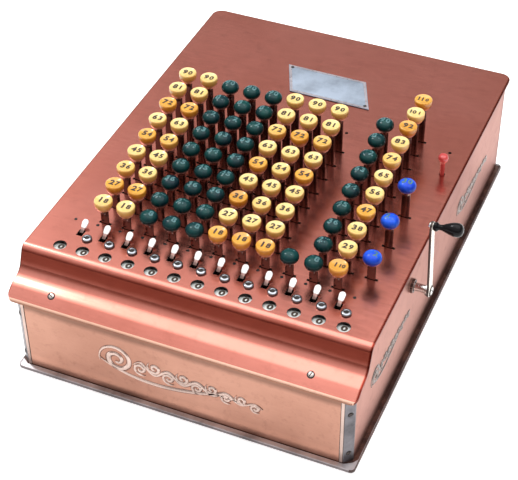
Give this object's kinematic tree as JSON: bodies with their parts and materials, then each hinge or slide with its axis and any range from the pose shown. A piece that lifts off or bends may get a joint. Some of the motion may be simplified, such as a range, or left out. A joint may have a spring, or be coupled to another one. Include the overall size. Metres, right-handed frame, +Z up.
{
  "type": "key-driven adding machine",
  "caption": "Key-driven desk adding machine in a copper case with a curved front, ranks of round keys, numeral windows and a side lever that clears the wheels.",
  "frame": {"origin": "centre of the flat underside of the base plate, which rests on the desk", "axes": "+X to the operator's right, where the side lever is; +Y from the operator's side to the back; +Z up"},
  "size_m": [0.3153, 0.3938, 0.1546],
  "materials": {
    "copper": "satin brushed copper plate",
    "base_metal": "dark glossy lacquer, worn at the edge",
    "corner_grey": "dull grey metal",
    "nickel": "bright nickel",
    "polished_steel": "polished",
    "inner_steel": "plain sheet steel",
    "nameplate_alloy": "satin",
    "wheel_white": "satin white with dark numerals",
    "ivory": "aged ivory, polished",
    "green": "dark green, glossy",
    "blue": "blue, glossy",
    "red": "red enamel",
    "black": "black, glossy"
  },
  "bodies": {
    "case": {"base_plate": "base_metal", "front_panel": "copper", "rear_panel": "copper", "left_side_panel": "copper", "right_side_panel": "copper", "corner_post_left": "corner_grey", "corner_post_right": "corner_grey", "top_cover": "copper", "key_guide_plate": "inner_steel", "nameplate": "nameplate_alloy", "stud_rail": "nickel"},
    "zero_lever": {"zero_lever_arm": "polished_steel", "zero_lever_knob": "black", "zero_lever_shaft": "polished_steel"},
    "numeral_wheels": {"numeral_wheels": "wheel_white"},
    "red_release_key": {"red_release_key": "red"},
    "cutoff_lever_1": {"cutoff_lever_1": "nickel"},
    "ten_shilling_key": {"ten_shilling_key": "green"},
    "pounds_keys_1": {"pounds_keys_1": "ivory"},
    "pounds_keys_2": {"pounds_keys_2": "ivory"},
    "pounds_keys_3": {"pounds_keys_3": "green"},
    "pounds_keys_4": {"pounds_keys_4": "green"},
    "pounds_keys_5": {"pounds_keys_5": "green"},
    "pounds_keys_6": {"pounds_keys_6": "ivory"},
    "pounds_keys_7": {"pounds_keys_7": "ivory"},
    "pounds_keys_8": {"pounds_keys_8": "ivory"},
    "farthing_key_1": {"farthing_key_1": "blue"},
    "farthing_key_2": {"farthing_key_2": "blue"},
    "farthing_key_3": {"farthing_key_3": "blue"},
    "shilling_key_1": {"shilling_key_1": "green"},
    "shilling_key_2": {"shilling_key_2": "green"},
    "shilling_key_3": {"shilling_key_3": "green"},
    "shilling_key_4": {"shilling_key_4": "green"},
    "shilling_key_5": {"shilling_key_5": "green"},
    "shilling_key_6": {"shilling_key_6": "green"},
    "shilling_key_7": {"shilling_key_7": "green"},
    "shilling_key_8": {"shilling_key_8": "green"},
    "shilling_key_9": {"shilling_key_9": "green"},
    "pence_key_1": {"pence_key_1": "ivory"},
    "pence_key_2": {"pence_key_2": "ivory"},
    "pence_key_3": {"pence_key_3": "ivory"},
    "pence_key_4": {"pence_key_4": "ivory"},
    "pence_key_5": {"pence_key_5": "ivory"},
    "pence_key_6": {"pence_key_6": "ivory"},
    "pence_key_7": {"pence_key_7": "ivory"},
    "pence_key_8": {"pence_key_8": "ivory"},
    "pence_key_9": {"pence_key_9": "ivory"},
    "pence_key_10": {"pence_key_10": "ivory"},
    "pence_key_11": {"pence_key_11": "ivory"},
    "cutoff_lever_2": {"cutoff_lever_2": "nickel"},
    "cutoff_lever_3": {"cutoff_lever_3": "nickel"},
    "cutoff_lever_4": {"cutoff_lever_4": "nickel"},
    "cutoff_lever_5": {"cutoff_lever_5": "nickel"},
    "cutoff_lever_6": {"cutoff_lever_6": "nickel"},
    "cutoff_lever_7": {"cutoff_lever_7": "nickel"},
    "cutoff_lever_8": {"cutoff_lever_8": "nickel"},
    "cutoff_lever_9": {"cutoff_lever_9": "nickel"},
    "cutoff_lever_10": {"cutoff_lever_10": "nickel"},
    "cutoff_lever_11": {"cutoff_lever_11": "nickel"},
    "cutoff_lever_12": {"cutoff_lever_12": "nickel"}
  },
  "joints": [
    {"name": "zero_lever_pull", "type": "hinge", "parent": "case", "child": "zero_lever", "pos_m": [0.1509, -0.065, 0.075], "axis": [1, 0, 0], "range_deg": [0, 60], "stiffness_Nm_per_rad": 0.2, "springref_deg": -17.19},
    {"name": "numeral_wheels_turn", "type": "hinge", "parent": "case", "child": "numeral_wheels", "pos_m": [0, -0.1557, 0.0895], "axis": [1, 0, 0], "range_deg": [0, 324]},
    {"name": "red_release_press", "type": "slide", "parent": "case", "child": "red_release_key", "axis": [0, 0, -1], "range_m": [0, 0.004], "stiffness_N_per_m": 120, "springref_m": -0.005},
    {"name": "cutoff_lever_1_tip", "type": "hinge", "parent": "case", "child": "cutoff_lever_1", "pos_m": [-0.106, -0.1355, 0.09], "axis": [1, 0, 0], "range_deg": [0, 12], "stiffness_Nm_per_rad": 0.02, "springref_deg": -11.46},
    {"name": "ten_shilling_key_press", "type": "slide", "parent": "case", "child": "ten_shilling_key", "axis": [0, 0, -1], "range_m": [0, 0.004], "stiffness_N_per_m": 120, "springref_m": -0.006},
    {"name": "pounds_keys_1_press", "type": "slide", "parent": "case", "child": "pounds_keys_1", "axis": [0, 0, -1], "range_m": [0, 0.006], "stiffness_N_per_m": 400, "springref_m": -0.005},
    {"name": "pounds_keys_2_press", "type": "slide", "parent": "case", "child": "pounds_keys_2", "axis": [0, 0, -1], "range_m": [0, 0.006], "stiffness_N_per_m": 400, "springref_m": -0.005},
    {"name": "pounds_keys_3_press", "type": "slide", "parent": "case", "child": "pounds_keys_3", "axis": [0, 0, -1], "range_m": [0, 0.006], "stiffness_N_per_m": 400, "springref_m": -0.005},
    {"name": "pounds_keys_4_press", "type": "slide", "parent": "case", "child": "pounds_keys_4", "axis": [0, 0, -1], "range_m": [0, 0.006], "stiffness_N_per_m": 400, "springref_m": -0.005},
    {"name": "pounds_keys_5_press", "type": "slide", "parent": "case", "child": "pounds_keys_5", "axis": [0, 0, -1], "range_m": [0, 0.006], "stiffness_N_per_m": 400, "springref_m": -0.005},
    {"name": "pounds_keys_6_press", "type": "slide", "parent": "case", "child": "pounds_keys_6", "axis": [0, 0, -1], "range_m": [0, 0.006], "stiffness_N_per_m": 400, "springref_m": -0.005},
    {"name": "pounds_keys_7_press", "type": "slide", "parent": "case", "child": "pounds_keys_7", "axis": [0, 0, -1], "range_m": [0, 0.006], "stiffness_N_per_m": 400, "springref_m": -0.005},
    {"name": "pounds_keys_8_press", "type": "slide", "parent": "case", "child": "pounds_keys_8", "axis": [0, 0, -1], "range_m": [0, 0.006], "stiffness_N_per_m": 400, "springref_m": -0.005},
    {"name": "farthing_key_1_press", "type": "slide", "parent": "case", "child": "farthing_key_1", "axis": [0, 0, -1], "range_m": [0, 0.0048], "stiffness_N_per_m": 120, "springref_m": -0.006},
    {"name": "farthing_key_2_press", "type": "slide", "parent": "case", "child": "farthing_key_2", "axis": [0, 0, -1], "range_m": [0, 0.0064], "stiffness_N_per_m": 120, "springref_m": -0.006},
    {"name": "farthing_key_3_press", "type": "slide", "parent": "case", "child": "farthing_key_3", "axis": [0, 0, -1], "range_m": [0, 0.008], "stiffness_N_per_m": 120, "springref_m": -0.006},
    {"name": "shilling_key_1_press", "type": "slide", "parent": "case", "child": "shilling_key_1", "axis": [0, 0, -1], "range_m": [0, 0.004], "stiffness_N_per_m": 120, "springref_m": -0.006},
    {"name": "shilling_key_2_press", "type": "slide", "parent": "case", "child": "shilling_key_2", "axis": [0, 0, -1], "range_m": [0, 0.0048], "stiffness_N_per_m": 120, "springref_m": -0.006},
    {"name": "shilling_key_3_press", "type": "slide", "parent": "case", "child": "shilling_key_3", "axis": [0, 0, -1], "range_m": [0, 0.0056], "stiffness_N_per_m": 120, "springref_m": -0.006},
    {"name": "shilling_key_4_press", "type": "slide", "parent": "case", "child": "shilling_key_4", "axis": [0, 0, -1], "range_m": [0, 0.0064], "stiffness_N_per_m": 120, "springref_m": -0.006},
    {"name": "shilling_key_5_press", "type": "slide", "parent": "case", "child": "shilling_key_5", "axis": [0, 0, -1], "range_m": [0, 0.0072], "stiffness_N_per_m": 120, "springref_m": -0.006},
    {"name": "shilling_key_6_press", "type": "slide", "parent": "case", "child": "shilling_key_6", "axis": [0, 0, -1], "range_m": [0, 0.008], "stiffness_N_per_m": 120, "springref_m": -0.006},
    {"name": "shilling_key_7_press", "type": "slide", "parent": "case", "child": "shilling_key_7", "axis": [0, 0, -1], "range_m": [0, 0.0088], "stiffness_N_per_m": 120, "springref_m": -0.006},
    {"name": "shilling_key_8_press", "type": "slide", "parent": "case", "child": "shilling_key_8", "axis": [0, 0, -1], "range_m": [0, 0.0096], "stiffness_N_per_m": 120, "springref_m": -0.006},
    {"name": "shilling_key_9_press", "type": "slide", "parent": "case", "child": "shilling_key_9", "axis": [0, 0, -1], "range_m": [0, 0.0104], "stiffness_N_per_m": 120, "springref_m": -0.006},
    {"name": "pence_key_1_press", "type": "slide", "parent": "case", "child": "pence_key_1", "axis": [0, 0, -1], "range_m": [0, 0.004], "stiffness_N_per_m": 120, "springref_m": -0.006},
    {"name": "pence_key_2_press", "type": "slide", "parent": "case", "child": "pence_key_2", "axis": [0, 0, -1], "range_m": [0, 0.0048], "stiffness_N_per_m": 120, "springref_m": -0.006},
    {"name": "pence_key_3_press", "type": "slide", "parent": "case", "child": "pence_key_3", "axis": [0, 0, -1], "range_m": [0, 0.0056], "stiffness_N_per_m": 120, "springref_m": -0.006},
    {"name": "pence_key_4_press", "type": "slide", "parent": "case", "child": "pence_key_4", "axis": [0, 0, -1], "range_m": [0, 0.0064], "stiffness_N_per_m": 120, "springref_m": -0.006},
    {"name": "pence_key_5_press", "type": "slide", "parent": "case", "child": "pence_key_5", "axis": [0, 0, -1], "range_m": [0, 0.0072], "stiffness_N_per_m": 120, "springref_m": -0.006},
    {"name": "pence_key_6_press", "type": "slide", "parent": "case", "child": "pence_key_6", "axis": [0, 0, -1], "range_m": [0, 0.008], "stiffness_N_per_m": 120, "springref_m": -0.006},
    {"name": "pence_key_7_press", "type": "slide", "parent": "case", "child": "pence_key_7", "axis": [0, 0, -1], "range_m": [0, 0.0088], "stiffness_N_per_m": 120, "springref_m": -0.006},
    {"name": "pence_key_8_press", "type": "slide", "parent": "case", "child": "pence_key_8", "axis": [0, 0, -1], "range_m": [0, 0.0096], "stiffness_N_per_m": 120, "springref_m": -0.006},
    {"name": "pence_key_9_press", "type": "slide", "parent": "case", "child": "pence_key_9", "axis": [0, 0, -1], "range_m": [0, 0.0104], "stiffness_N_per_m": 120, "springref_m": -0.006},
    {"name": "pence_key_10_press", "type": "slide", "parent": "case", "child": "pence_key_10", "axis": [0, 0, -1], "range_m": [0, 0.0112], "stiffness_N_per_m": 120, "springref_m": -0.006},
    {"name": "pence_key_11_press", "type": "slide", "parent": "case", "child": "pence_key_11", "axis": [0, 0, -1], "range_m": [0, 0.012], "stiffness_N_per_m": 120, "springref_m": -0.006},
    {"name": "cutoff_lever_2_tip", "type": "hinge", "parent": "case", "child": "cutoff_lever_2", "pos_m": [-0.08695, -0.1355, 0.09], "axis": [1, 0, 0], "range_deg": [0, 12], "stiffness_Nm_per_rad": 0.02, "springref_deg": -11.46},
    {"name": "cutoff_lever_3_tip", "type": "hinge", "parent": "case", "child": "cutoff_lever_3", "pos_m": [-0.0679, -0.1355, 0.09], "axis": [1, 0, 0], "range_deg": [0, 12], "stiffness_Nm_per_rad": 0.02, "springref_deg": -11.46},
    {"name": "cutoff_lever_4_tip", "type": "hinge", "parent": "case", "child": "cutoff_lever_4", "pos_m": [-0.04885, -0.1355, 0.09], "axis": [1, 0, 0], "range_deg": [0, 12], "stiffness_Nm_per_rad": 0.02, "springref_deg": -11.46},
    {"name": "cutoff_lever_5_tip", "type": "hinge", "parent": "case", "child": "cutoff_lever_5", "pos_m": [-0.0298, -0.1355, 0.09], "axis": [1, 0, 0], "range_deg": [0, 12], "stiffness_Nm_per_rad": 0.02, "springref_deg": -11.46},
    {"name": "cutoff_lever_6_tip", "type": "hinge", "parent": "case", "child": "cutoff_lever_6", "pos_m": [-0.01075, -0.1355, 0.09], "axis": [1, 0, 0], "range_deg": [0, 12], "stiffness_Nm_per_rad": 0.02, "springref_deg": -11.46},
    {"name": "cutoff_lever_7_tip", "type": "hinge", "parent": "case", "child": "cutoff_lever_7", "pos_m": [0.0083, -0.1355, 0.09], "axis": [1, 0, 0], "range_deg": [0, 12], "stiffness_Nm_per_rad": 0.02, "springref_deg": -11.46},
    {"name": "cutoff_lever_8_tip", "type": "hinge", "parent": "case", "child": "cutoff_lever_8", "pos_m": [0.02735, -0.1355, 0.09], "axis": [1, 0, 0], "range_deg": [0, 12], "stiffness_Nm_per_rad": 0.02, "springref_deg": -11.46},
    {"name": "cutoff_lever_9_tip", "type": "hinge", "parent": "case", "child": "cutoff_lever_9", "pos_m": [0.0464, -0.1355, 0.09], "axis": [1, 0, 0], "range_deg": [0, 12], "stiffness_Nm_per_rad": 0.02, "springref_deg": -11.46},
    {"name": "cutoff_lever_10_tip", "type": "hinge", "parent": "case", "child": "cutoff_lever_10", "pos_m": [0.06545, -0.1355, 0.09], "axis": [1, 0, 0], "range_deg": [0, 12], "stiffness_Nm_per_rad": 0.02, "springref_deg": -11.46},
    {"name": "cutoff_lever_11_tip", "type": "hinge", "parent": "case", "child": "cutoff_lever_11", "pos_m": [0.0845, -0.1355, 0.09], "axis": [1, 0, 0], "range_deg": [0, 12], "stiffness_Nm_per_rad": 0.02, "springref_deg": -11.46},
    {"name": "cutoff_lever_12_tip", "type": "hinge", "parent": "case", "child": "cutoff_lever_12", "pos_m": [0.10355, -0.1355, 0.09], "axis": [1, 0, 0], "range_deg": [0, 12], "stiffness_Nm_per_rad": 0.02, "springref_deg": -11.46}
  ],
  "couplings": [
    {"joint": "numeral_wheels_turn", "follows": "zero_lever_pull", "ratio": 5.4}
  ]
}
